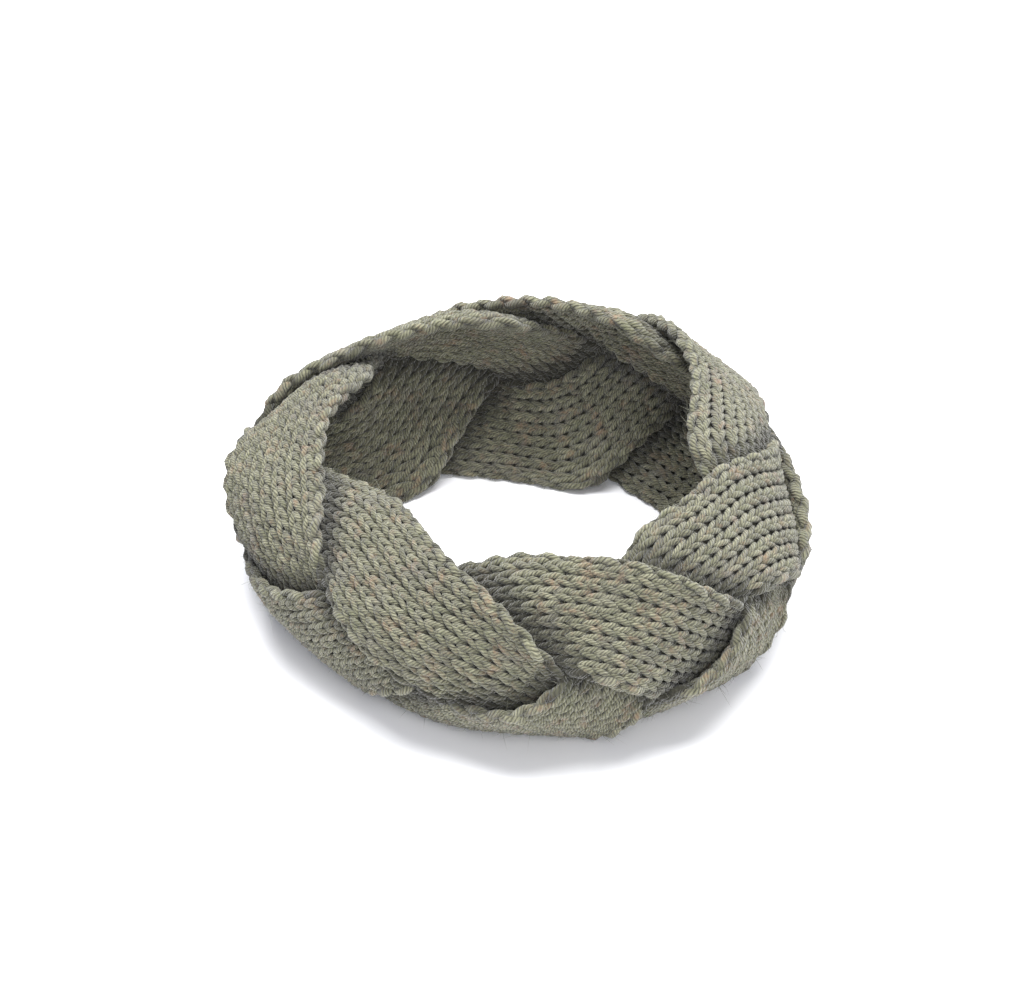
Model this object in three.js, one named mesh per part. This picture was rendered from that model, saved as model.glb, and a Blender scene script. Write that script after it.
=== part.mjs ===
// Ear warmer headband: three wide knitted strips plaited into a closed ring.
// The ring stands on its lower rim, its axis is +Z and the floor is z = 0. Millimetres and degrees.
import * as THREE from 'three';

// The strips
const strandNames = ['strip_1', 'strip_2', 'strip_3'];
const stripThickness = 3.1;
const selvedgeThickness = 1.0;
const stripColour = '#8f907b';
const seamGap = 0.35;
const floorSquash = 0.7;

// The plait: every rim has seven crossings, and each strip swings once up and down in 3/7 of a turn
const crossings = 7;
const ringRadius = 76;
const plaitHeight = 67.2;
const frontPhase = 90;
const frontAngle = -91.4;
const seamAngle = 90;

// How a strip moves over one swing. A row is one harmonic of the swing.
const middleHeight = [
  { cycle: 1, sine: 23.5, cosine: 0 },
  { cycle: 3, sine: 1.4, cosine: -1.2 },
];
const middleDepth = [
  { cycle: 2, sine: -2.2, cosine: 3.3 },
  { cycle: 4, sine: -0.4, cosine: 0.8 },
];
const tilt = [
  { cycle: 1, sine: 41.2, cosine: 5 },
  { cycle: 3, sine: 4.2, cosine: 4.7 },
  { cycle: 5, sine: 0.4, cosine: -0.8 },
];
const curl = [
  { cycle: 0, sine: 0, cosine: 24.7 },
  { cycle: 2, sine: 10.4, cosine: 6.6 },
  { cycle: 4, sine: -8.8, cosine: 2.8 },
];
const hook = [
  { cycle: 1, sine: 3.1, cosine: 7.2 },
];
const neutralWidth = [
  { cycle: 0, sine: 0, cosine: 34.6 },
  { cycle: 2, sine: 0, cosine: 5.4 },
];

// How the hand-made ring departs from a regular one. A row is one harmonic of the turn.
const plaitLag = [
  { cycle: 1, sine: -28.6, cosine: -18.6 },
  { cycle: 2, sine: -16.9, cosine: 18.2 },
  { cycle: 3, sine: -1.6, cosine: 0.2 },
  { cycle: 4, sine: 0.1, cosine: 1.4 },
  { cycle: 5, sine: 3.1, cosine: 3.8 },
  { cycle: 6, sine: -2.9, cosine: -0.8 },
];
const ringBulge = [
  { cycle: 1, sine: 10.7, cosine: -16 },
  { cycle: 2, sine: -6.7, cosine: -3.5 },
  { cycle: 3, sine: 2.2, cosine: 0.4 },
  { cycle: 4, sine: -1, cosine: -0.7 },
];
const ringLean = [
  { cycle: 0, sine: 0, cosine: 4.3 },
  { cycle: 1, sine: 1.7, cosine: -3.9 },
  { cycle: 2, sine: 0.4, cosine: 6.9 },
];
const wallSwell = [
  { cycle: 0, sine: 0, cosine: 1.2 },
  { cycle: 1, sine: 0.06, cosine: -0.09 },
  { cycle: 2, sine: -0.03, cosine: -0.02 },
];
const rimRise = [
  { cycle: 0, sine: 0, cosine: 0.931 },
  { cycle: 1, sine: 0.045, cosine: 0.053 },
  { cycle: 2, sine: -0.001, cosine: 0.02 },
];
const footDrop = [
  { cycle: 0, sine: 0, cosine: 0 },
  { cycle: 1, sine: -0.5, cosine: 0.5 },
  { cycle: 2, sine: 0.1, cosine: -0.9 },
];
const tiltChange = [
  { cycle: 1, sine: -0.6, cosine: 0.1 },
  { cycle: 2, sine: 0.7, cosine: -0.2 },
  { cycle: 3, sine: -0.4, cosine: 0 },
];
const curlChange = [
  { cycle: 1, sine: -1.6, cosine: -2.2 },
  { cycle: 2, sine: 2.1, cosine: 5.6 },
];
const widthChange = [
  { cycle: 1, sine: 0, cosine: 0.8 },
  { cycle: 2, sine: -0.1, cosine: -0.5 },
];

// Mesh steps
const stepsRound = 120;
const facePoints = 9;
const edgePoints = 3;
const widthSamples = 24;

const degree = Math.PI / 180;

function sumWave(rows, angle) {
  let total = 0;
  for (const row of rows) {
    total += row.sine * Math.sin(row.cycle * angle) + row.cosine * Math.cos(row.cycle * angle);
  }
  return total;
}

// Phase of a strip's swing at a ring angle. 90 degrees is the top of the swing.
function phaseAt(turn, strand) {
  const even = (crossings / strandNames.length) * (turn - frontAngle * degree);
  const lag = sumWave(plaitLag, turn) * degree;
  return even + lag + frontPhase * degree + (strand * 2 * Math.PI) / strandNames.length;
}

// The strip's cross-section line: half a width down and half a width up from its middle.
// across runs from -1 at the lower edge to 1 at the upper edge.
function sectionLine(turn, phase) {
  const half = (sumWave(neutralWidth, phase) + sumWave(widthChange, turn)) / 2;
  const turned = sumWave(tilt, phase) + sumWave(tiltChange, turn);
  const bent = sumWave(curl, phase) + sumWave(curlChange, turn);
  const hooked = sumWave(hook, phase);
  const step = 2 / widthSamples;
  const line = [];
  let depth = 0;
  let height = 0;
  for (let i = 0; i <= widthSamples; i += 1) {
    const across = -1 + i * step;
    if (i > 0) {
      const middle = across - step / 2;
      const angle = (turned + bent * middle + hooked * (3 * middle * middle - 1)) * degree;
      depth -= Math.sin(angle) * half * step;
      height += Math.cos(angle) * half * step;
    }
    line.push({ across, depth, height });
  }
  const centre = line[widthSamples / 2];
  const depthShift = sumWave(middleDepth, phase) - centre.depth;
  const heightShift = sumWave(middleHeight, phase) - centre.height;
  for (const point of line) {
    point.depth += depthShift;
    point.height += heightShift;
  }
  return line;
}

// A point of the strip's middle surface in the ring's own space.
function surfacePoint(turn, strand, across) {
  const line = sectionLine(turn, phaseAt(turn, strand));
  const place = ((across + 1) / 2) * widthSamples;
  const low = Math.min(Math.floor(place), widthSamples - 1);
  const part = place - low;
  const flat = line[low].depth * (1 - part) + line[low + 1].depth * part;
  const depth = flat * sumWave(wallSwell, turn);
  const height = line[low].height * (1 - part) + line[low + 1].height * part;
  const lean = sumWave(ringLean, turn) * degree;
  const radius = ringRadius + sumWave(ringBulge, turn) + depth * Math.cos(lean) - height * Math.sin(lean);
  const stood = depth * Math.sin(lean) + height * Math.cos(lean) + plaitHeight / 2;
  const up = stood * sumWave(rimRise, turn);
  const drop = sumWave(footDrop, turn) * (1 - up / plaitHeight);
  return new THREE.Vector3(radius * Math.cos(turn), radius * Math.sin(turn), up - drop);
}

// The direction square to the strip's surface, pointing away from the ring's axis side.
function surfaceFrame(turn, strand, across) {
  const small = 0.002;
  const inside = Math.min(Math.max(across, -1 + 0.05), 1 - 0.05);
  const along = surfacePoint(turn + small, strand, inside).sub(surfacePoint(turn - small, strand, inside));
  const wide = surfacePoint(turn, strand, inside + 0.04).sub(surfacePoint(turn, strand, inside - 0.04));
  const normal = new THREE.Vector3().crossVectors(along, wide).normalize();
  const side = new THREE.Vector3().crossVectors(normal, along).normalize();
  return { normal, side };
}

// Half the strip's thickness, which thins towards its two selvedges.
function halfThickness(across) {
  return (stripThickness - (stripThickness - selvedgeThickness) * across ** 4) / 2;
}

// One closed loop of the strip's section: outer face going up, rounded upper edge,
// inner face going down, rounded lower edge.
function sectionLoop(turn, strand) {
  const edge = halfThickness(1);
  const loop = [];
  for (let i = 0; i < facePoints; i += 1) {
    const across = -1 + (2 * i) / (facePoints - 1);
    const { normal } = surfaceFrame(turn, strand, across);
    loop.push(surfacePoint(turn, strand, across).addScaledVector(normal, halfThickness(across)));
  }
  for (let i = 1; i <= edgePoints; i += 1) {
    const bend = (Math.PI * i) / (edgePoints + 1);
    const { normal, side } = surfaceFrame(turn, strand, 1);
    const point = surfacePoint(turn, strand, 1);
    point.addScaledVector(normal, edge * Math.cos(bend));
    point.addScaledVector(side, edge * Math.sin(bend));
    loop.push(point);
  }
  for (let i = facePoints - 1; i >= 0; i -= 1) {
    const across = -1 + (2 * i) / (facePoints - 1);
    const { normal } = surfaceFrame(turn, strand, across);
    loop.push(surfacePoint(turn, strand, across).addScaledVector(normal, -halfThickness(across)));
  }
  for (let i = 1; i <= edgePoints; i += 1) {
    const bend = (Math.PI * i) / (edgePoints + 1);
    const { normal, side } = surfaceFrame(turn, strand, -1);
    const point = surfacePoint(turn, strand, -1);
    point.addScaledVector(normal, -edge * Math.cos(bend));
    point.addScaledVector(side, -edge * Math.sin(bend));
    loop.push(point);
  }
  // The wool gives where it stands on the floor
  for (const point of loop) {
    point.z = Math.max(point.z - floorSquash, 0);
  }
  return loop;
}

// The loop's ends are closed with quads from the outer face to the inner face.
function capTriangles(first, reversed) {
  const size = 2 * (facePoints + edgePoints);
  const order = [];
  const top = facePoints - 1 + (edgePoints + 1) / 2;
  for (let i = 0; i < size / 2; i += 1) {
    const left = (top - i + size) % size;
    const right = (top + i) % size;
    const nextLeft = (left - 1 + size) % size;
    const nextRight = (right + 1) % size;
    if (left === right) {
      order.push([left, nextLeft, nextRight]);
    } else if (nextLeft === nextRight) {
      order.push([left, nextLeft, right]);
    } else {
      order.push([left, nextLeft, right]);
      order.push([nextLeft, nextRight, right]);
    }
  }
  const out = [];
  for (const [a, b, c] of order) {
    if (reversed) {
      out.push(first + a, first + c, first + b);
    } else {
      out.push(first + a, first + b, first + c);
    }
  }
  return out;
}

function stripGeometry(strand) {
  const halfGap = seamGap / 2 / ringRadius;
  const start = seamAngle * degree + halfGap;
  const end = seamAngle * degree + 2 * Math.PI - halfGap;
  const positions = [];
  for (let i = 0; i <= stepsRound; i += 1) {
    const turn = start + ((end - start) * i) / stepsRound;
    for (const point of sectionLoop(turn, strand)) {
      positions.push(point.x, point.y, point.z);
    }
  }
  const size = 2 * (facePoints + edgePoints);
  const indices = [];
  for (let i = 0; i < stepsRound; i += 1) {
    for (let j = 0; j < size; j += 1) {
      const a = i * size + j;
      const b = i * size + ((j + 1) % size);
      const c = (i + 1) * size + j;
      const d = (i + 1) * size + ((j + 1) % size);
      indices.push(a, c, b);
      indices.push(b, c, d);
    }
  }
  indices.push(...capTriangles(0, true));
  indices.push(...capTriangles(stepsRound * size, false));
  const geometry = new THREE.BufferGeometry();
  geometry.setAttribute('position', new THREE.Float32BufferAttribute(positions, 3));
  geometry.setIndex(indices);
  geometry.computeVertexNormals();
  return geometry;
}

const group = new THREE.Group();
strandNames.forEach((name, strand) => {
  const wool = new THREE.MeshStandardMaterial({ color: stripColour, roughness: 0.95, metalness: 0 });
  const mesh = new THREE.Mesh(stripGeometry(strand), wool);
  mesh.name = name;
  group.add(mesh);
});

// The origin is on the floor, in the middle of the ring's footprint
const footprint = new THREE.Box3().setFromObject(group);
const middle = footprint.getCenter(new THREE.Vector3());
group.position.set(-middle.x, -middle.y, -footprint.min.z);

export default group;
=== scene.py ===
# Ear warmer headband: a closed ring plaited from three wide, double-faced knitted strips of wool mix
# yarn. It stands on its lower rim on a white surface. The plait is worked out in millimetres, and its
# meshes are made in metres.
import math

import bpy
import numpy as np
from mathutils import Matrix, Vector


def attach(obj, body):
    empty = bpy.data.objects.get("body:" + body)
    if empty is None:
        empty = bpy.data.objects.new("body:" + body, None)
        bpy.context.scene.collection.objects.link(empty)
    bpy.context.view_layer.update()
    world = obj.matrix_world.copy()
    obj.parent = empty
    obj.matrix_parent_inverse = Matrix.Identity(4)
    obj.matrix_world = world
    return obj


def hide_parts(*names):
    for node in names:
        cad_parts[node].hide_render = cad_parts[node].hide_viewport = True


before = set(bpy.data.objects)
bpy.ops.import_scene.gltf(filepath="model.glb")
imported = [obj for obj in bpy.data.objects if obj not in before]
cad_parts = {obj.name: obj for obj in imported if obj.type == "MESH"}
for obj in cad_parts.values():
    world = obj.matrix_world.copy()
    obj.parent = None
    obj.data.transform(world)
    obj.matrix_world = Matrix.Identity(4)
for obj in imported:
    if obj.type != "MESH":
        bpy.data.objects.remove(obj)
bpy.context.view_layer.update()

MM = 0.001
DEGREE = math.pi / 180
PHOTO_WIDTH, PHOTO_HEIGHT = 1024, 986

# The plait, with the same sizes and waves as the solids
CROSSINGS = 7
STRIPS = 3
RING_RADIUS = 76
PLAIT_HEIGHT = 67.2
FRONT_PHASE = 90
FRONT_ANGLE = -91.4
SEAM_ANGLE = 90

# The strips as thin solids, and as the thicker soft cloth that stands for them
STRIP_THICKNESS = 3.1
SELVEDGE_THICKNESS = 1.0
CLOTH_THICKNESS = 4.0
CHAIN_THICKNESS = 3.2

# How far the solids are pressed on the floor, and how the soft wool gives above it
FLOOR_SQUASH = 0.7
GIVE_HEIGHT = 6.0
GIVE_DEPTH = 2.2

# The solids' steps round the ring, their points across a face, and the steps along a section's line
SOLID_STEPS = 120
FACE_POINTS = 9
WIDTH_SAMPLES = 24

# Directions on a strip are taken over a small turn, in radians, and over a small share of half its width,
# and no nearer to its edge than an inset
TURN_STEP = 0.002
ACROSS_STEP = 0.04
EDGE_INSET = 0.05

# Each row is a harmonic: (cycle, sine, cosine). These six follow a strip's swing up and down.
middle_height = [(1, 23.5, 0), (3, 1.4, -1.2)]
middle_depth = [(2, -2.2, 3.3), (4, -0.4, 0.8)]
tilt = [(1, 41.2, 5), (3, 4.2, 4.7), (5, 0.4, -0.8)]
curl = [(0, 0, 24.7), (2, 10.4, 6.6), (4, -8.8, 2.8)]
hook = [(1, 3.1, 7.2)]
neutral_width = [(0, 0, 34.6), (2, 0, 5.4)]

# These follow the turn round the ring: how the hand-made ring departs from an even one
plait_lag = [
    (1, -28.6, -18.6),
    (2, -16.9, 18.2),
    (3, -1.6, 0.2),
    (4, 0.1, 1.4),
    (5, 3.1, 3.8),
    (6, -2.9, -0.8),
]
ring_bulge = [(1, 10.7, -16), (2, -6.7, -3.5), (3, 2.2, 0.4), (4, -1, -0.7)]
ring_lean = [(0, 0, 4.3), (1, 1.7, -3.9), (2, 0.4, 6.9)]
wall_swell = [(0, 0, 1.2), (1, 0.06, -0.09), (2, -0.03, -0.02)]
rim_rise = [(0, 0, 0.931), (1, 0.045, 0.053), (2, -0.001, 0.02)]
foot_drop = [(0, 0, 0), (1, -0.5, 0.5), (2, 0.1, -0.9)]
tilt_change = [(1, -0.6, 0.1), (2, 0.7, -0.2), (3, -0.4, 0)]
curl_change = [(1, -1.6, -2.2), (2, 2.1, 5.6)]
width_change = [(1, 0, 0.8), (2, -0.1, -0.5)]


def sum_wave(rows, angle):
    """The sum of the harmonics at an angle in radians."""
    total = 0 * angle
    for cycle, sine, cosine in rows:
        total = total + sine * np.sin(cycle * angle) + cosine * np.cos(cycle * angle)
    return total


def unit(v):
    """Each vector at a length of one."""
    return v / np.maximum(np.linalg.norm(v, axis=-1, keepdims=True), 1e-12)


def phase_at(turn):
    """A strip's swing at a turn, in radians. The turn runs on through three rounds, one for each strip."""
    even = CROSSINGS / STRIPS * (turn - FRONT_ANGLE * DEGREE)
    return even + (sum_wave(plait_lag, turn) + FRONT_PHASE) * DEGREE


def section_line(turn):
    """Depth and height along the strip's width at each turn, from the lower edge to the upper edge."""
    phase = phase_at(turn)[:, None]
    turn = turn[:, None]
    half = (sum_wave(neutral_width, phase) + sum_wave(width_change, turn)) / 2
    step = 2 / WIDTH_SAMPLES
    middle = -1 + (np.arange(WIDTH_SAMPLES) + 0.5)[None] * step
    turned = sum_wave(tilt, phase) + sum_wave(tilt_change, turn)
    bent = sum_wave(curl, phase) + sum_wave(curl_change, turn)
    angle = turned + bent * middle + sum_wave(hook, phase) * (3 * middle**2 - 1)
    start = np.zeros((len(turn), 1))
    depth = np.concatenate([start, np.cumsum(-np.sin(angle * DEGREE) * half * step, axis=1)], axis=1)
    height = np.concatenate([start, np.cumsum(np.cos(angle * DEGREE) * half * step, axis=1)], axis=1)
    centre = WIDTH_SAMPLES // 2
    depth = depth - depth[:, centre : centre + 1] + sum_wave(middle_depth, phase)
    height = height - height[:, centre : centre + 1] + sum_wave(middle_height, phase)
    return depth, height


def surface_point(turn, across):
    """Points of the strip's middle surface. across is -1 at the lower edge and 1 at the upper edge."""
    turn, across = np.broadcast_arrays(turn, across)
    shape = turn.shape
    turn, across = turn.ravel(), across.ravel()
    depth_line, height_line = section_line(turn)
    place = (across + 1) / 2 * WIDTH_SAMPLES
    low = np.clip(np.floor(place).astype(int), 0, WIDTH_SAMPLES - 1)
    part = place - low
    each = np.arange(len(turn))
    depth = depth_line[each, low] * (1 - part) + depth_line[each, low + 1] * part
    height = height_line[each, low] * (1 - part) + height_line[each, low + 1] * part
    depth = depth * sum_wave(wall_swell, turn)
    lean = sum_wave(ring_lean, turn) * DEGREE
    radius = RING_RADIUS + sum_wave(ring_bulge, turn) + depth * np.cos(lean) - height * np.sin(lean)
    stood = depth * np.sin(lean) + height * np.cos(lean) + PLAIT_HEIGHT / 2
    up = stood * sum_wave(rim_rise, turn)
    drop = sum_wave(foot_drop, turn) * (1 - up / PLAIT_HEIGHT)
    points = np.stack([radius * np.cos(turn), radius * np.sin(turn), up - drop], axis=-1)
    return points.reshape(shape + (3,))


def step_along(turn, across):
    """From a point a small turn back to one a small turn on."""
    return surface_point(turn + TURN_STEP, across) - surface_point(turn - TURN_STEP, across)


def step_across(turn, across):
    """From a point a little lower on the strip to one a little higher."""
    return surface_point(turn, across + ACROSS_STEP) - surface_point(turn, across - ACROSS_STEP)


def surface_frame(turn, across):
    """The directions out of the strip's surface and square to its length, at each point."""
    turn, across = np.broadcast_arrays(turn, across)
    inside = np.clip(across, -1 + EDGE_INSET, 1 - EDGE_INSET)
    along = step_along(turn, inside)
    normal = unit(np.cross(along, step_across(turn, inside)))
    side = unit(np.cross(normal, along))
    return normal, side


def half_thickness(across):
    """Half the thickness of the strip's solid."""
    return (STRIP_THICKNESS - (STRIP_THICKNESS - SELVEDGE_THICKNESS) * across**4) / 2


def half_cloth(across):
    """Half the thickness of the soft cloth, whose selvedge chain is nearly as thick as its faces."""
    return (CLOTH_THICKNESS - (CLOTH_THICKNESS - CHAIN_THICKNESS) * across**4) / 2


def settle(points):
    """Puts points in the part's frame, the ring's middle at the origin. Wool less than 6 mm above the
    floor gives, so that what would reach 2.2 mm under it is pressed up to it."""
    settled = points - ring_middle
    height = settled[..., 2]
    pressed = np.clip((GIVE_HEIGHT - height) / (GIVE_HEIGHT + GIVE_DEPTH), 0, 1)
    given = GIVE_HEIGHT - (GIVE_HEIGHT + GIVE_DEPTH) * pressed + GIVE_DEPTH * pressed**2
    settled[..., 2] = np.where(height < GIVE_HEIGHT, given, height)
    return settled


def find_ring_middle():
    """The middle of the solids' footprint, and how deep they would reach into the floor unpressed."""
    whole = 2 * math.pi * STRIPS
    turns = SEAM_ANGLE * DEGREE + np.linspace(0, whole, SOLID_STEPS * STRIPS + 1)[:, None]
    across = np.linspace(-1, 1, FACE_POINTS)[None]
    normal, _ = surface_frame(turns, across)
    middle = surface_point(turns, across)
    thick = half_thickness(across)[..., None]
    edges = np.array([[-1, 1]])
    _, edge_side = surface_frame(turns, edges)
    ends = surface_point(turns, edges) + edge_side * edges[..., None] * half_thickness(1)
    cloud = np.concatenate([middle + normal * thick, middle - normal * thick, ends], axis=1)
    low, high = cloud.min(axis=(0, 1)), cloud.max(axis=(0, 1))
    return np.array([(low[0] + high[0]) / 2, (low[1] + high[1]) / 2, FLOOR_SQUASH])


ring_middle = find_ring_middle()

# The cloth's rows and columns. The yarn is thick and the rib closed up: a knitted V is about 4.6 mm wide
# and 4.1 mm high, with eight to a face.
ROW_PITCH = 4.1
COLUMN_PITCH = 4.6
FACE_COLUMNS = 8
YARN_RADIUS = 1.1

# Round the flattened strip: eight columns outside, the upper selvedge, eight inside, the lower selvedge
UPPER_SELVEDGE = FACE_COLUMNS
INNER_FACE = FACE_COLUMNS + 1
LOWER_SELVEDGE = 2 * FACE_COLUMNS + 1
COLUMNS = 2 * FACE_COLUMNS + 2

# The grid's steps to a row and to a column, and the steps that measure a strip's length in one round
ROW_FINE = 3
COLUMN_FINE = 6
FACE_STEPS = FACE_COLUMNS * COLUMN_FINE
LENGTH_STEPS = 2160

# The share by which the courses' crowding is evened out, because knitted cloth gives along its columns
COURSE_GIVE = 0.5


def course_slope(turn, across):
    """How much the turn changes across the strip for a course to stay square to the columns."""
    along = step_along(turn, across) / (2 * TURN_STEP)
    wide = step_across(turn, across) / (2 * ACROSS_STEP)
    return -np.sum(wide * along, axis=-1) / np.sum(along * along, axis=-1)


def length_gone(turns, across):
    """The length gone along the closed strip at each turn, at one place across it."""
    line = surface_point(turns, np.array([across]))
    return np.concatenate([[0], np.cumsum(np.linalg.norm(np.diff(line, axis=0), axis=1))])


def gone_at(turn, turns, gone):
    """The share of the closed column's length gone at a turn, both running on past one closed round."""
    rounds = np.floor((turn - turns[0]) / (turns[-1] - turns[0]))
    return rounds + np.interp(turn - rounds * (turns[-1] - turns[0]), turns, gone)


def turn_at(share, turns, gone):
    """The turn at which a share of the closed column's length is gone."""
    rounds = np.floor(share)
    return rounds * (turns[-1] - turns[0]) + np.interp(share - rounds, gone, turns)


def lay_out_courses():
    """The turn at every fine row and every place across the face, and the length of each strip."""
    whole = 2 * math.pi * STRIPS
    turns = SEAM_ANGLE * DEGREE + np.linspace(0, whole, LENGTH_STEPS * STRIPS + 1)
    gone = length_gone(turns, 0.0)
    lengths = np.diff(gone[::LENGTH_STEPS])
    # The chain's links span two rows, so the closed strip has an even number of them
    rows = 2 * round(gone[-1] / ROW_PITCH / 2)
    even = np.arange(rows * ROW_FINE) / (rows * ROW_FINE)
    starts = np.interp(even * gone[-1], gone, turns)
    middle = FACE_STEPS // 2
    width = 2 / FACE_STEPS
    table = np.empty((len(starts), FACE_STEPS + 1))
    table[:, middle] = starts
    for way in (1, -1):
        for j in range(middle):
            here = middle + way * j
            across = -1 + here * width
            turn = table[:, here]
            half_step = turn + course_slope(turn, across) * way * width / 2
            table[:, here + way] = turn + course_slope(half_step, across + way * width / 2) * way * width
    for j in range(FACE_STEPS + 1):
        gone = length_gone(turns, -1 + j * width)
        gone = gone / gone[-1]
        square = gone_at(table[:, j], turns, gone)
        evened = even + np.mean(square - even)
        table[:, j] = turn_at(COURSE_GIVE * evened + (1 - COURSE_GIVE) * square, turns, gone)
    return table, rows, starts[::ROW_FINE], lengths


course_turns, ROWS, row_starts, strip_lengths = lay_out_courses()


def weave_grid():
    """The yarn's middle line surface right round the flattened strip, and the direction out of it."""
    across = -1 + np.arange(FACE_STEPS + 1) * 2 / FACE_STEPS
    normal, side = surface_frame(course_turns, across[None])
    middle = surface_point(course_turns, across[None])
    sunk = (half_cloth(across) - YARN_RADIUS)[None, :, None]
    outer, inner = middle + normal * sunk, middle - normal * sunk
    bend = (math.pi * np.arange(1, COLUMN_FINE) / COLUMN_FINE)[None, :, None]
    edge = half_cloth(1) - YARN_RADIUS
    upper_out = np.cos(bend) * normal[:, -1:] + np.sin(bend) * side[:, -1:]
    lower_out = -np.cos(bend) * normal[:, :1] - np.sin(bend) * side[:, :1]
    upper, lower = middle[:, -1:] + upper_out * edge, middle[:, :1] + lower_out * edge
    points = np.concatenate([outer, upper, inner[:, ::-1], lower], axis=1)
    ways = np.concatenate([normal, upper_out, -normal[:, ::-1], lower_out], axis=1)
    return points, ways


grid_points, grid_ways = weave_grid()


def on_cloth(row, column):
    """Points and outward directions of the yarn's middle surface at rows and columns, which both go on
    for ever. The faces start and end on grid lines, so each selvedge shares two of them."""
    rows_fine, columns_fine = grid_points.shape[:2]
    r = np.mod(row * ROW_FINE, rows_fine)
    c = np.mod(column * COLUMN_FINE, columns_fine)
    r0, c0 = np.floor(r).astype(int), np.floor(c).astype(int)
    r_part, c_part = (r - r0)[..., None], (c - c0)[..., None]
    r0, c0 = r0 % rows_fine, c0 % columns_fine
    r1, c1 = (r0 + 1) % rows_fine, (c0 + 1) % columns_fine

    def read(grid):
        near = grid[r0, c0] * (1 - c_part) + grid[r0, c1] * c_part
        far = grid[r1, c0] * (1 - c_part) + grid[r1, c1] * c_part
        return near * (1 - r_part) + far * r_part

    return read(grid_points), unit(read(grid_ways))


# The yarn's finish
# Ply ridges seen round the yarn, and passed in a millimetre along it: a twist of about 51 degrees
PLIES = 5
PLY_TURNS = 0.95

# How much lighter the yarn gets by the painted highlight on its plies' crowns, with painted shade in
# the grooves between them, by its fibres, the mix of wools and each leg's tint, and the level that is
# taken off
CROWN_HIGHLIGHT = 0.36
FIBRE_LIGHT = 0.75
MIX_LIGHT = 0.55
TINT_LIGHT = 0.07
LIGHT_LEVEL = 0.38

# The darkest painted shade, the tone of yarn deep between the loops
DARKEST_SHADE_TONE = "#26251d"


def linear(colour):
    """An sRGB hex value as linear red, green, blue and alpha."""
    parts = [int(colour[i : i + 2], 16) / 255 for i in (1, 3, 5)]
    return [p / 12.92 if p <= 0.04045 else ((p + 0.055) / 1.055) ** 2.4 for p in parts] + [1.0]


def noise_scale(size):
    """The scale of a noise on Object coordinates whose patches have a size in mm."""
    return 1 / (size * MM)


def new_material(name):
    material = bpy.data.materials.new(name)
    material.use_nodes = True
    material.node_tree.nodes.clear()
    return material


def add_node(material, kind, settings=None, **inputs):
    """Adds a shader node. settings are its properties. An input is a value, or a (node, output) pair to
    link, and is given by its name or, where names repeat, by its number after an i."""
    tree = material.node_tree
    node = tree.nodes.new("ShaderNode" + kind)
    for name, value in (settings or {}).items():
        setattr(node, name, value)
    for name, value in inputs.items():
        key = int(name[1:]) if name[0] == "i" and name[1:].isdigit() else name.replace("_", " ")
        socket = node.inputs[key]
        if isinstance(value, tuple) and isinstance(value[0], bpy.types.Node):
            tree.links.new(value[0].outputs[value[1]], socket)
        else:
            socket.default_value = value
    return node


def set_ramp(node, stops):
    ramp = node.color_ramp
    while len(ramp.elements) < len(stops):
        ramp.elements.new(0.5)
    for element, (place, colour) in zip(ramp.elements, stops):
        element.position = place
        element.color = linear(colour)


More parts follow.
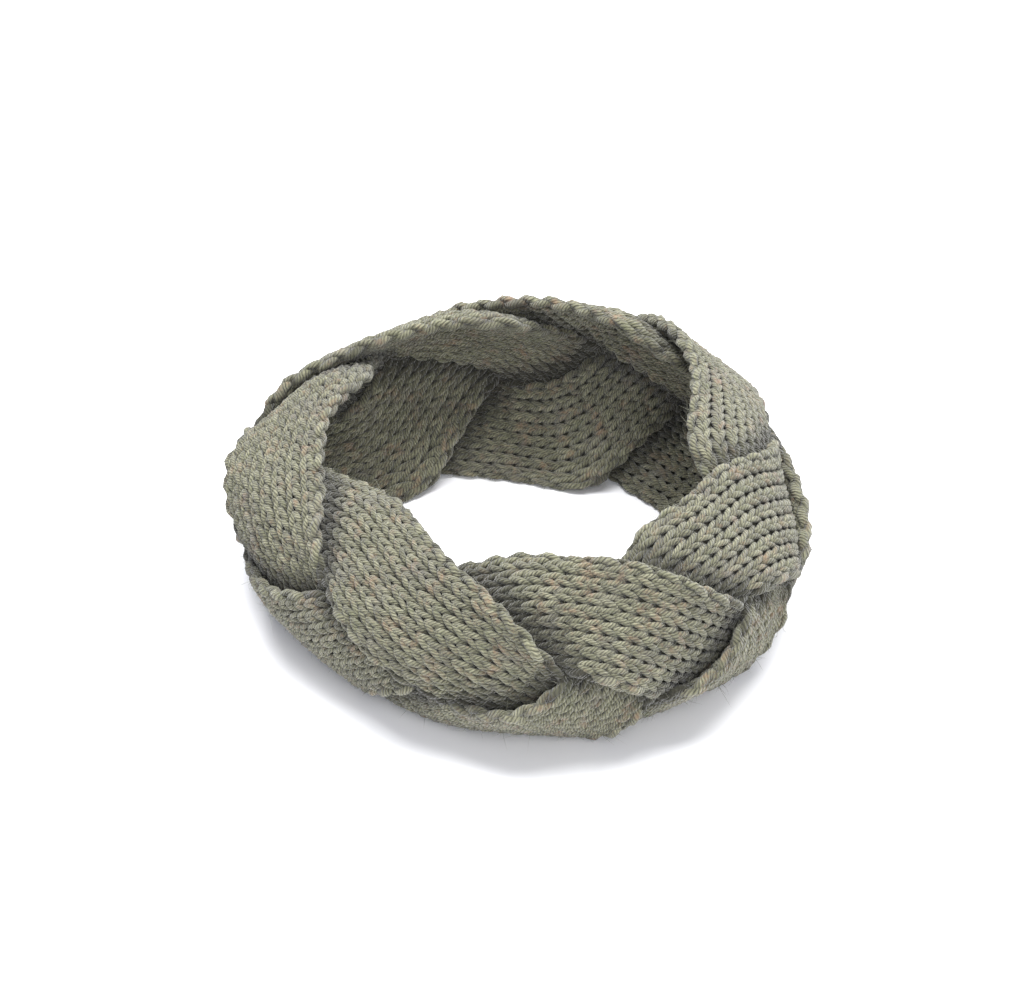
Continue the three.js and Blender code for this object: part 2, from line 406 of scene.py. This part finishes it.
def plied_wool():
    """Plied wool mix yarn, knitted. Soft plies wound round each other show as slanting strokes on each
    loop, lighter on their crowns by a painted highlight, and the fibres are a melange of sage with tan,
    mauve and moss flecks. The root attribute paints shade, darkening the yarn where it dives, down its
    flanks and under another strip's edge."""
    m = new_material("plied_wool_mix_yarn")
    times = {"operation": "MULTIPLY"}
    times_add = {"operation": "MULTIPLY_ADD"}
    mix = {"data_type": "RGBA"}
    uv = add_node(m, "UVMap", {"uv_map": "yarn"})
    split = add_node(m, "SeparateXYZ", Vector=(uv, "UV"))
    place = add_node(m, "TexCoord")
    tint = add_node(m, "Attribute", {"attribute_name": "tint"})
    root = add_node(m, "Attribute", {"attribute_name": "root"})

    # The plies' ridges, which wander by up to a third of their width every 2 mm as in uneven spinning
    round_yarn = add_node(m, "Math", times, i0=(split, "X"), i1=float(PLIES))
    even_ply = add_node(m, "Math", times_add, i0=(split, "Y"), i1=PLY_TURNS, i2=(round_yarn, "Value"))
    wander = add_node(m, "TexNoise", Vector=(place, "Object"), Scale=noise_scale(2.0), Detail=1.0)
    ply = add_node(m, "Math", times_add, i0=(wander, "Fac"), i1=0.9, i2=(even_ply, "Value"))
    swing = add_node(m, "Math", times, i0=(ply, "Value"), i1=math.pi)
    wave = add_node(m, "Math", {"operation": "SINE"}, i0=(swing, "Value"))
    ridge = add_node(m, "Math", {"operation": "ABSOLUTE"}, i0=(wave, "Value"))

    # Fibres run along the plies, 3.2 to a ridge, which is about 0.3 mm apart, and change every 1.2 mm along
    # the yarn. Real ones are finer: these are as fine as the render shows.
    fibre_place = add_node(m, "CombineXYZ", X=(ply, "Value"), Y=(split, "Y"))
    fibre_scale = add_node(m, "Mapping", Vector=(fibre_place, "Vector"), Scale=(3.2, 0.8, 1.0))
    fibres = add_node(
        m,
        "TexNoise",
        {"noise_dimensions": "2D"},
        Vector=(fibre_scale, "Vector"),
        Scale=1.0,
        Detail=3.0,
        Roughness=0.65,
    )

    # Lightness: ridges' crowns, with a painted highlight on them and painted shade between them, fibres,
    # patches of about 3 mm where one colour gathers, and each leg's tint
    melange = add_node(
        m, "TexNoise", Vector=(place, "Object"), Scale=noise_scale(3.03), Detail=4.0, Roughness=0.65
    )
    crown_highlight = add_node(m, "Math", times, i0=(ridge, "Value"), i1=CROWN_HIGHLIGHT)
    streak = add_node(m, "Math", times_add, i0=(fibres, "Fac"), i1=FIBRE_LIGHT, i2=(crown_highlight, "Value"))
    patch = add_node(m, "Math", times_add, i0=(melange, "Fac"), i1=MIX_LIGHT, i2=(streak, "Value"))
    tinted = add_node(m, "Math", times_add, i0=(tint, "Fac"), i1=TINT_LIGHT, i2=(patch, "Value"))
    lightness = add_node(m, "Math", {"operation": "SUBTRACT"}, i0=(tinted, "Value"), i1=LIGHT_LEVEL)
    sage = add_node(m, "ValToRGB", Fac=(lightness, "Value"))
    set_ramp(sage, [(0.12, "#24231c"), (0.40, "#535243"), (0.60, "#6d6c57"), (0.85, "#94927b")])

    # Flecks of other wool, some 6 and 10 mm across. A colour Mix has its factor at input 0, its two
    # colours at inputs 6 and 7, and its result at output 2.
    flecks = add_node(
        m, "TexNoise", Vector=(place, "Object"), Scale=noise_scale(5.88), Detail=5.0, Roughness=0.75
    )
    tan = add_node(m, "MapRange", Value=(flecks, "Fac"), From_Min=0.54, From_Max=0.72, To_Max=0.8)
    with_tan = add_node(m, "Mix", mix, i0=(tan, "Result"), i6=(sage, "Color"), i7=linear("#846b55"))
    moss = add_node(m, "MapRange", Value=(flecks, "Fac"), From_Min=0.45, From_Max=0.28, To_Max=0.6)
    with_moss = add_node(m, "Mix", mix, i0=(moss, "Result"), i6=(with_tan, 2), i7=linear("#666a4f"))
    blooms = add_node(
        m, "TexNoise", Vector=(place, "Object"), Scale=noise_scale(10.53), Detail=4.0, Roughness=0.7
    )
    mauve = add_node(m, "MapRange", Value=(blooms, "Fac"), From_Min=0.52, From_Max=0.72, To_Max=0.45)
    with_mauve = add_node(m, "Mix", mix, i0=(mauve, "Result"), i6=(with_moss, 2), i7=linear("#696461"))
    # Painted shade: the root attribute mixes the yarn toward the darkest shade tone
    colour = add_node(m, "Mix", mix, i0=(root, "Fac"), i6=(with_mauve, 2), i7=linear(DARKEST_SHADE_TONE))

    height = add_node(m, "Math", times_add, i0=(fibres, "Fac"), i1=0.9, i2=(ridge, "Value"))
    bump = add_node(m, "Bump", Height=(height, "Value"), Strength=0.8, Distance=0.35 * MM)
    surface = add_node(
        m,
        "BsdfPrincipled",
        Base_Color=(colour, 2),
        Roughness=0.92,
        Normal=(bump, "Normal"),
        Sheen_Weight=0.25,
        Sheen_Roughness=0.5,
        Specular_IOR_Level=0.2,
    )
    add_node(m, "OutputMaterial", Surface=(surface, "BSDF"))
    return m


def shaded_wool():
    """The inside of the knit, seen only as the dark wool deep between the loops: its darkness is painted
    shade. It is matt and felted, with a grain of about 1 mm."""
    m = new_material("wool_in_shade_between_loops")
    place = add_node(m, "TexCoord")
    noise = add_node(m, "TexNoise", Vector=(place, "Object"), Scale=noise_scale(1.111), Detail=3.0)
    colour = add_node(m, "ValToRGB", Fac=(noise, "Fac"))
    set_ramp(colour, [(0.3, "#2a2921"), (0.7, "#3d3c31")])
    bump = add_node(m, "Bump", Height=(noise, "Fac"), Strength=0.5, Distance=0.4 * MM)
    surface = add_node(
        m, "BsdfPrincipled", Base_Color=(colour, "Color"), Roughness=0.95, Normal=(bump, "Normal")
    )
    add_node(m, "OutputMaterial", Surface=(surface, "BSDF"))
    return m


def loose_fibre():
    """Wool fibres that stand out of the yarn: pale, because light comes through them. Their colour
    changes over about 5 mm of the cloth."""
    m = new_material("loose_wool_fibre")
    place = add_node(m, "TexCoord")
    noise = add_node(m, "TexNoise", Vector=(place, "Object"), Scale=noise_scale(5.0), Detail=1.0)
    colour = add_node(m, "ValToRGB", Fac=(noise, "Fac"))
    set_ramp(colour, [(0.35, "#5f6053"), (0.65, "#8f9080")])
    surface = add_node(m, "BsdfPrincipled", Base_Color=(colour, "Color"), Roughness=0.8)
    add_node(m, "OutputMaterial", Surface=(surface, "BSDF"))
    return m


def white_sweep():
    """Matt white paper, nearly as bright as paper gets, with faint clouds 250 mm across."""
    m = new_material("matt_white_paper")
    place = add_node(m, "TexCoord")
    noise = add_node(m, "TexNoise", Vector=(place, "Object"), Scale=noise_scale(250), Detail=1.0)
    colour = add_node(m, "ValToRGB", Fac=(noise, "Fac"))
    set_ramp(colour, [(0.3, "#f8f8fa"), (0.7, "#fbfbfc")])
    surface = add_node(
        m, "BsdfPrincipled", Base_Color=(colour, "Color"), Roughness=0.9, Specular_IOR_Level=0.0
    )
    add_node(m, "OutputMaterial", Surface=(surface, "BSDF"))
    return m


def piece_from(name, points, corners, starts, material):
    """A piece of the headband from its points in mm, its faces' corners and where each face starts."""
    mesh = bpy.data.meshes.new(name)
    flat = (settle(points) * MM).astype(np.float32)
    mesh.vertices.add(len(flat))
    mesh.vertices.foreach_set("co", flat.ravel())
    mesh.loops.add(len(corners))
    mesh.loops.foreach_set("vertex_index", corners.astype(np.int32))
    mesh.polygons.add(len(starts))
    mesh.polygons.foreach_set("loop_start", starts.astype(np.int32))
    mesh.update(calc_edges=True)
    mesh.shade_smooth()
    mesh.materials.append(material)
    piece = bpy.data.objects.new(name, mesh)
    bpy.context.scene.collection.objects.link(piece)
    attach(piece, "root")
    return piece


# The yarn of one leg of a knitted loop: its girth at each station, plump in the middle and thin at its ends
leg_girth = [0.60, 0.90, 1.03, 1.03, 0.92, 0.62]
LEG_STATIONS = len(leg_girth)
LEG_CORNERS = 6


def model_yarn_leg():
    """One leg, straight and at a size of one: z runs along the yarn from 0 to 1, x lies in the cloth and
    y stands out of it. Gives its points, its faces' corners, where each face starts, and how far round
    the yarn each corner is."""
    bpy.ops.object.select_all(action="DESELECT")
    bpy.ops.mesh.primitive_circle_add(vertices=LEG_CORNERS, radius=1, fill_type="NGON")
    leg = bpy.context.object
    # The side that lies in the cloth is never seen, so it is left flat: its lowest corner is taken out
    lowest = min(range(LEG_CORNERS), key=lambda i: leg.data.vertices[i].co.y)
    bpy.ops.object.mode_set(mode="EDIT")
    bpy.ops.mesh.select_mode(type="VERT")
    bpy.ops.mesh.select_all(action="DESELECT")
    bpy.ops.object.mode_set(mode="OBJECT")
    leg.data.vertices[lowest].select = True
    bpy.ops.object.mode_set(mode="EDIT")
    bpy.ops.mesh.dissolve_verts()
    bpy.ops.mesh.select_all(action="SELECT")
    bpy.ops.transform.resize(value=(leg_girth[0], leg_girth[0], 1))
    step = (0, 0, 1 / (LEG_STATIONS - 1))
    for before, after in zip(leg_girth, leg_girth[1:]):
        bpy.ops.mesh.extrude_region_move(TRANSFORM_OT_translate={"value": step})
        bpy.ops.transform.resize(value=(after / before, after / before, 1))
    bpy.ops.mesh.select_all(action="SELECT")
    bpy.ops.mesh.normals_make_consistent(inside=False)
    bpy.ops.object.mode_set(mode="OBJECT")
    mesh = leg.data
    points = np.empty(len(mesh.vertices) * 3)
    mesh.vertices.foreach_get("co", points)
    points = points.reshape(-1, 3)
    corners = np.empty(len(mesh.loops), np.int64)
    mesh.loops.foreach_get("vertex_index", corners)
    starts = np.array([face.loop_start for face in mesh.polygons])
    round_yarn = np.empty(len(corners))
    for face in mesh.polygons:
        reach = slice(face.loop_start, face.loop_start + face.loop_total)
        at = points[corners[reach]]
        turn = np.arctan2(at[:, 1], at[:, 0]) / (2 * math.pi)
        if face.loop_total == 4:
            # No jump inside a face of the yarn's side
            turn = turn[0] + (turn - turn[0] + 0.5) % 1 - 0.5
        round_yarn[reach] = turn
    bpy.data.objects.remove(leg, do_unlink=True)
    return points, corners, starts, round_yarn


yarn_leg = model_yarn_leg()

# Painted shade: wool is coloured darker where light hardly reaches, kept in the root attribute. The
# shades are shares of the darkest tone. The yarn is painted darker where it dives under a height in
# mm, and down its flanks
DIVE_START = 0.05
FLANK_SHADE = 0.62
FLANK_FALL = 0.92
DARKEST_FLANK = 0.9
DARKEST = 0.94
# A painted shadow darkens it near another strip's edge, within a reach, where that edge stands over
# it, both in mm. An edge counts as another strip's where it is many rows off along the closed cloth.
EDGE_SHADE = 1.5
EDGE_REACH = 10.0
EDGE_OVER = 1.0
OTHER_PASS_ROWS = 12

# How far along its own map each leg's yarn may start, in mm, so that no two look alike
YARN_OFFSET = 40


def edge_shade(place, out, row):
    """How close another pass of the cloth has its edge over each stitch, 0 far off and 1 touching: the
    strength of that edge's painted shadow.
    """
    edge_rows = np.arange(0, ROWS, 0.5)
    selvedges = (UPPER_SELVEDGE + 0.5, LOWER_SELVEDGE + 0.5)
    edges = np.concatenate([on_cloth(edge_rows, np.full(len(edge_rows), c))[0] for c in selvedges])
    apart = np.abs(np.mod(np.tile(edge_rows, 2)[None] - row[:, None] + ROWS / 2, ROWS) - ROWS / 2)
    gap = edges[None] - place[:, None]
    over = np.sum(gap * out[:, None], axis=-1)
    near = np.clip(1 - np.linalg.norm(gap, axis=-1) / EDGE_REACH, 0, 1)
    return np.where((apart > OTHER_PASS_ROWS) & (over > EDGE_OVER), near, 0).max(axis=1)


def lay_legs(name, rows, columns, lifts, girth, rise, rng, material):
    """Copies the yarn leg along many paths on the cloth and joins the copies in one piece. rows, columns
    and lifts hold a path of six stations for each leg; girth and rise are its half width and height."""
    points, corners, starts, round_yarn = yarn_leg
    count = len(rows)
    base, out = on_cloth(rows, columns)
    centre = base + out * lifts[..., None]
    along = np.empty_like(centre)
    along[:, 1:-1] = centre[:, 2:] - centre[:, :-2]
    along[:, 0] = centre[:, 1] - centre[:, 0]
    along[:, -1] = centre[:, -1] - centre[:, -2]
    along = unit(along)
    wide = unit(np.cross(out, along))
    high = np.cross(along, wide)
    station = np.rint(points[:, 2] * (LEG_STATIONS - 1)).astype(int)
    sideways = points[:, 0][None, :, None] * girth[:, None, None]
    upward = points[:, 1][None, :, None] * rise[:, None, None]
    made = centre[:, station] + wide[:, station] * sideways + high[:, station] * upward
    each = np.arange(count)[:, None]
    all_corners = (corners[None] + each * len(points)).ravel()
    all_starts = (starts[None] + each * len(corners)).ravel()
    piece = piece_from(name, made.reshape(-1, 3), all_corners, all_starts, material)
    mesh = piece.data

    # The yarn's own map: once round its girth, and along it in millimetres
    length = np.linalg.norm(np.diff(centre, axis=1), axis=-1).sum(axis=1)
    offset = rng.uniform(0, YARN_OFFSET, count)
    uv = np.empty((count, len(corners), 2), np.float32)
    uv[..., 0] = round_yarn[None]
    uv[..., 1] = points[corners, 2][None] * length[:, None] + offset[:, None]
    mesh.uv_layers.new(name="yarn").uv.foreach_set("vector", uv.ravel())
    tint = np.repeat(rng.uniform(-1, 1, count), len(points)).astype(np.float32)
    mesh.attributes.new("tint", "FLOAT", "POINT").data.foreach_set("value", tint)

    # The root attribute is painted shade: darker where the yarn dives, down its flanks and in the painted
    # shadow of another strip's edge
    dive = np.clip((DIVE_START - lifts) / YARN_RADIUS, 0, 1)[:, station]
    flank = np.clip(FLANK_SHADE - FLANK_FALL * points[:, 1], 0, DARKEST_FLANK)[None]
    # An edge's painted shadow is taken once for each leg, at the station before its middle
    edge_shadow = EDGE_SHADE * edge_shade(base[:, 2], out[:, 2], rows[:, 2])[:, None]
    root = np.clip(dive + flank + edge_shadow, 0, DARKEST).astype(np.float32)
    mesh.attributes.new("root", "FLOAT", "POINT").data.foreach_set("value", root.ravel())
    return piece


# The path of a leg, from the column's middle: columns aside, rows along and mm out of the cloth at each
# station. The selvedge is a chain of longer links, which lean over the edge from one face to the other.
leg_path = {
    "columns": np.array([0.04, 0.07, 0.15, 0.28, 0.37, 0.39]),
    "rows": np.array([-0.28, 0.05, 0.42, 0.81, 1.18, 1.50]),
    "lifts": np.array([-1.2, 0.15, 0.62, 0.45, -0.25, -1.4]),
}
link_path = {
    "columns": np.array([-0.05, 0.05, 0.18, 0.30, 0.42, 0.50]),
    "rows": np.array([-0.15, 0.25, 0.75, 1.22, 1.66, 1.98]),
    "lifts": np.array([-1.3, -0.1, 0.62, 0.66, 0.0, -1.3]),
}

# The yarn's half width and half height in mm, the share by which they vary, and how far a path strays
# from its place: in rows, in columns and in mm out of the cloth
LEG_GIRTH = 0.97
LEG_RISE = 1.12
LEG_UNEVEN = 0.06
LEG_STRAY = (0.05, 0.02, 0.10)
LINK_GIRTH = 1.38
LINK_RISE = 1.30
LINK_UNEVEN = 0.07
LINK_STRAY = (0.06, 0.02, 0.12)

# Rows from a leg's own row to the middle of its stitch
STITCH_MIDDLE = 0.6
# How small and how large a stitch's height and width may be beside a usual one's
STITCH_HEIGHTS = (0.6, 1.5)
STITCH_WIDTHS = (0.7, 1.25)


def stitch_size(row, column):
    """How big a stitch is beside a usual one: smaller where the cloth is drawn together."""
    ahead, behind = on_cloth(row + 0.5, column + 0.5)[0], on_cloth(row - 0.5, column + 0.5)[0]
    inset = 0.05
    left, right = on_cloth(row, column + inset)[0], on_cloth(row, column + 1 - inset)[0]
    high = np.linalg.norm(ahead - behind, axis=-1) / ROW_PITCH
    wide = np.linalg.norm(right - left, axis=-1) / (1 - 2 * inset) / COLUMN_PITCH
    return np.sqrt(np.clip(high, *STITCH_HEIGHTS) * np.clip(wide, *STITCH_WIDTHS))


def stray_paths(rows, middle, side, path, stray, rng):
    """A path for each row on one side of a column's middle, each a little off its place."""
    off = rng.normal(0, 1, (len(rows), 3)) * stray
    row = rows[:, None] + path["rows"] + off[:, :1]
    place = middle + side * path["columns"] + off[:, 1:2]
    lift = path["lifts"] + off[:, 2:3]
    return row, place, lift


def uneven(count, share, rng):
    return 1 + rng.normal(0, share, count)


def knit(name, rows, first_column, selvedge, rng, material):
    """The V columns of one face and the chain along one selvedge, over the given rows."""
    paths, girths, rises = [], [], []
    for column in range(first_column, first_column + FACE_COLUMNS):
        for side in (-1, 1):
            paths.append(stray_paths(rows, column + 0.5, side, leg_path, LEG_STRAY, rng))
            size = stitch_size(rows + STITCH_MIDDLE, column)
            girths.append(LEG_GIRTH * size * uneven(len(rows), LEG_UNEVEN, rng))
            rises.append(LEG_RISE * size * uneven(len(rows), LEG_UNEVEN, rng))
    # Links lean to the two sides of the selvedge in turn, each over two rows
    for side, first in ((-1, 0), (1, 1)):
        chosen = rows[rows % 2 == first]
        paths.append(stray_paths(chosen, selvedge + 0.5, side, link_path, LINK_STRAY, rng))
        girths.append(LINK_GIRTH * uneven(len(chosen), LINK_UNEVEN, rng))
        rises.append(LINK_RISE * uneven(len(chosen), LINK_UNEVEN, rng))
    row, place, lift = (np.concatenate(part) for part in zip(*paths))
    girth, rise = np.concatenate(girths), np.concatenate(rises)
    return lay_legs(name, row, place, lift, girth, rise, rng, material)


# The cloth under the loops: how deep it lies under the yarn's middle in mm, and its steps to a row and
# to a column
CLOTH_SUNK = 0.35
CLOTH_FINE = 2


def cloth_under_loops(name, first_row, last_row, material):
    """The knitted cloth under its loops: one closed flattened tube."""
    row = np.linspace(first_row, last_row, (last_row - first_row) * CLOTH_FINE + 1)
    column = np.arange(0, COLUMNS, 1 / CLOTH_FINE)
    base, out = on_cloth(row[:, None], column[None])
    points = (base - out * CLOTH_SUNK).reshape(-1, 3)
    size = len(column)
    i = np.arange(len(row) - 1)[:, None]
    j = np.arange(size)[None]
    j_next = (j + 1) % size
    faces = [i * size + j, (i + 1) * size + j, (i + 1) * size + j_next, i * size + j_next]
    quads = np.stack(faces, axis=-1)
    last = (len(row) - 1) * size
    ends = [np.arange(size), last + np.arange(size)[::-1]]
    corners = np.concatenate([quads.ravel(), *ends])
    starts = np.concatenate([np.arange(0, quads.size, 4), quads.size + np.arange(2) * size])
    return piece_from(name, points, corners, starts, material)


# Loose fibres: how many a strip has, their sides and segments, their radius at the root in mm, and the
# share of it that they would lose by their end if they weren't drawn to a point
HAIRS = 5200
HAIR_SIDES = 3
HAIR_SEGMENTS = 2
HAIR_RADIUS = 0.052
HAIR_TAPER = 0.6
# The share that stands on the selvedges, and the share of those that stands on the upper one
ON_SELVEDGES = 0.3
ON_UPPER_SELVEDGE = 0.6
# How far they lean out of the cloth beside a chance direction, and how strongly they bend back over it
LEAN_OUT = (0.25, 1.0)
LEAN_ASIDE = 0.8
BEND_BACK = 0.6
BEND = 0.75
# Their length in mm: a shortest one, and a gamma spread past it with few long ones
SHORTEST_HAIR = 0.8
LENGTH_SHAPE = 2.4
LENGTH_SPREAD = 0.85
# They leave the yarn at this share of its radius
ROOT_HEIGHT = 0.75


def fuzz(name, first_row, last_row, rng, material):
    """Loose fibres, thin three-sided hairs that leave the yarn, bend over and end in a point."""
    row = rng.uniform(first_row, last_row, HAIRS)
    column = rng.uniform(0, COLUMNS, HAIRS)
    on_edge = rng.random(HAIRS) < ON_SELVEDGES
    selvedge = np.where(rng.random(HAIRS) < ON_UPPER_SELVEDGE, UPPER_SELVEDGE, LOWER_SELVEDGE)
    column = np.where(on_edge, selvedge + rng.uniform(0, 1, HAIRS), column)
    base, out = on_cloth(row, column)
    drift = unit(rng.normal(0, 1, (HAIRS, 3)))
    way = unit(out * rng.uniform(*LEAN_OUT, (HAIRS, 1)) + drift * LEAN_ASIDE)
    bend = unit(rng.normal(0, 1, (HAIRS, 3))) - BEND_BACK * out
    length = rng.gamma(LENGTH_SHAPE, LENGTH_SPREAD, HAIRS)[:, None] + SHORTEST_HAIR
    path = np.empty((HAIRS, HAIR_SEGMENTS + 1, 3))
    for i in range(HAIR_SEGMENTS + 1):
        t = i / HAIR_SEGMENTS
        path[:, i] = base + out * (YARN_RADIUS * ROOT_HEIGHT) + (way * t + bend * BEND * t * t) * length
    along = unit(np.gradient(path, axis=1))
    # The small shift keeps the two directions from ever being the same
    wide = unit(np.cross(along, drift[:, None] + 0.01))
    high = np.cross(along, wide)

    # A ring of points at each station but the last, which is the hair's point
    thin = HAIR_RADIUS * (1 - HAIR_TAPER * np.arange(HAIR_SEGMENTS) / HAIR_SEGMENTS)
    angles = np.arange(HAIR_SIDES) * 2 * math.pi / HAIR_SIDES
    aside = wide[:, :-1, None] * np.cos(angles)[:, None] + high[:, :-1, None] * np.sin(angles)[:, None]
    rings = (path[:, :-1, None] + aside * thin[:, None, None]).reshape(HAIRS, -1, 3)
    points = np.concatenate([rings, path[:, -1:]], axis=1)
    tip = HAIR_SEGMENTS * HAIR_SIDES
    i = np.arange(HAIR_SEGMENTS - 1)[:, None] * HAIR_SIDES
    j = np.arange(HAIR_SIDES)
    j_next = (j + 1) % HAIR_SIDES
    above = i + HAIR_SIDES
    quads = np.stack([i + j, i + j_next, above + j_next, above + j], axis=-1).ravel()
    last = tip - HAIR_SIDES
    point_faces = np.stack([last + j, last + j_next, np.full(HAIR_SIDES, tip)], axis=-1).ravel()
    root_face = j[::-1]
    hair = np.concatenate([quads, point_faces, root_face])
    hair_starts = np.concatenate([np.arange(0, len(quads), 4), np.arange(len(quads), len(hair), 3)])
    each = np.arange(HAIRS)[:, None]
    corners = (hair[None] + each * (tip + 1)).ravel()
    starts = (hair_starts[None] + each * len(hair)).ravel()
    return piece_from(name, points.reshape(-1, 3), corners, starts, material)


# The three strips
FIRST_SEED = 71
ROUNDING = 1e-9

knitted_yarn = plied_wool()
painted_shade_wool = shaded_wool()
fibre = loose_fibre()


def make_strip(strip):
    """One strip from seam to seam: its cloth, which stands for its solid, and its loops and fuzz."""
    rng = np.random.default_rng(FIRST_SEED + strip)
    seam = SEAM_ANGLE * DEGREE + 2 * math.pi * strip
    first_row = int(np.searchsorted(row_starts, seam - ROUNDING))
    last_row = int(np.searchsorted(row_starts, seam + 2 * math.pi - ROUNDING))
    rows = np.arange(first_row, last_row)
    label = "strip_%d" % (strip + 1)
    # The cloth under the loops is coloured with painted shade, seen only in the gaps between them
    cloth = cloth_under_loops(label + "_cloth", first_row, last_row, painted_shade_wool)
    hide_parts(label)
    outer = knit(label + "_outer_loops", rows, 0, UPPER_SELVEDGE, rng, knitted_yarn)
    inner = knit(label + "_inner_loops", rows, INNER_FACE, LOWER_SELVEDGE, rng, knitted_yarn)
    hairs = fuzz(label + "_fuzz", first_row, last_row, rng, fibre)
    return cloth, [outer, inner, hairs]


strips = [make_strip(strip) for strip in range(STRIPS)]

# The white surface, the light and the camera, in metres
FLOOR_SIZE = 8
FLOOR_GAP = 0.0002


def lay_floor():
    """A wide white surface just under the wool."""
    bpy.ops.object.select_all(action="DESELECT")
    bpy.ops.mesh.primitive_plane_add(size=FLOOR_SIZE, location=(0, 0, -FLOOR_GAP))
    floor = bpy.context.object
    bpy.ops.object.transform_apply(location=True, rotation=True, scale=True)
    floor.name = "white_surface"
    floor.data.materials.append(white_sweep())


def soft_light(name, place, target, size, power):
    """A round softbox that faces its target. Its power is in watts."""
    data = bpy.data.lights.new(name, "AREA")
    data.shape = "DISK"
    data.size = size
    data.energy = power
    light = bpy.data.objects.new(name, data)
    light.location = place
    light.rotation_euler = (Vector(target) - Vector(place)).to_track_quat("-Z", "Y").to_euler()
    bpy.context.scene.collection.objects.link(light)


def light_studio():
    """White light from all round, a large softbox overhead and a weak one in front."""
    world = bpy.data.worlds.new("white_studio")
    bpy.context.scene.world = world
    world.use_nodes = True
    background = world.node_tree.nodes["Background"]
    background.inputs["Color"].default_value = (0.93, 0.96, 1.09, 1)
    background.inputs["Strength"].default_value = 0.52
    soft_light("overhead_softbox", place=(0.10, 0.10, 1.15), target=(0, 0, 0), size=1.2, power=40)
    soft_light("front_softbox", place=(0.22, -1.15, 0.72), target=(0, 0, 0.03), size=0.7, power=11)
    scene = bpy.context.scene
    scene.view_settings.view_transform = "Standard"
    scene.view_settings.look = "None"


# The camera stands about 1 m off, in front and about 33 degrees above. Its distance and the height that
# its axis meets are in mm, its elevation and roll in radians, and its lens and the picture's point on its
# axis in the photo's pixels.
CAMERA_DISTANCE = 1008.45
AXIS_HEIGHT = 30
CAMERA_ELEVATION = 0.5801
CAMERA_ROLL = 0.0556
FOCAL_PIXELS = 3459.63
AXIS_PIXEL = (575.60, 530.28)
SENSOR_WIDTH = 36


def set_camera():
    """The camera looks at the picture's middle, so its lens needs no shift."""
    forward = Vector((0, math.cos(CAMERA_ELEVATION), -math.sin(CAMERA_ELEVATION)))
    level_up = Vector((0, math.sin(CAMERA_ELEVATION), math.cos(CAMERA_ELEVATION)))
    level_right = Vector((1, 0, 0))
    right = level_right * math.cos(CAMERA_ROLL) - level_up * math.sin(CAMERA_ROLL)
    up = level_right * math.sin(CAMERA_ROLL) + level_up * math.cos(CAMERA_ROLL)
    target = Vector((-ring_middle[0], -ring_middle[1], AXIS_HEIGHT - ring_middle[2]))
    eye = target - forward * CAMERA_DISTANCE
    x = (PHOTO_WIDTH / 2 - AXIS_PIXEL[0]) / FOCAL_PIXELS
    y = (AXIS_PIXEL[1] - PHOTO_HEIGHT / 2) / FOCAL_PIXELS
    back = -(forward + right * x + up * y).normalized()
    right = (right - back * right.dot(back)).normalized()
    up = back.cross(right)
    data = bpy.data.cameras.new("camera")
    data.sensor_fit = "HORIZONTAL"
    data.sensor_width = SENSOR_WIDTH
    data.lens = FOCAL_PIXELS * SENSOR_WIDTH / PHOTO_WIDTH
    data.clip_start = 0.05
    data.clip_end = 20
    camera = bpy.data.objects.new("camera", data)
    turn = Matrix((right, up, back)).transposed().to_4x4()
    camera.matrix_world = Matrix.Translation(eye * MM) @ turn
    bpy.context.scene.collection.objects.link(camera)
    bpy.context.scene.camera = camera


lay_floor()
light_studio()
set_camera()
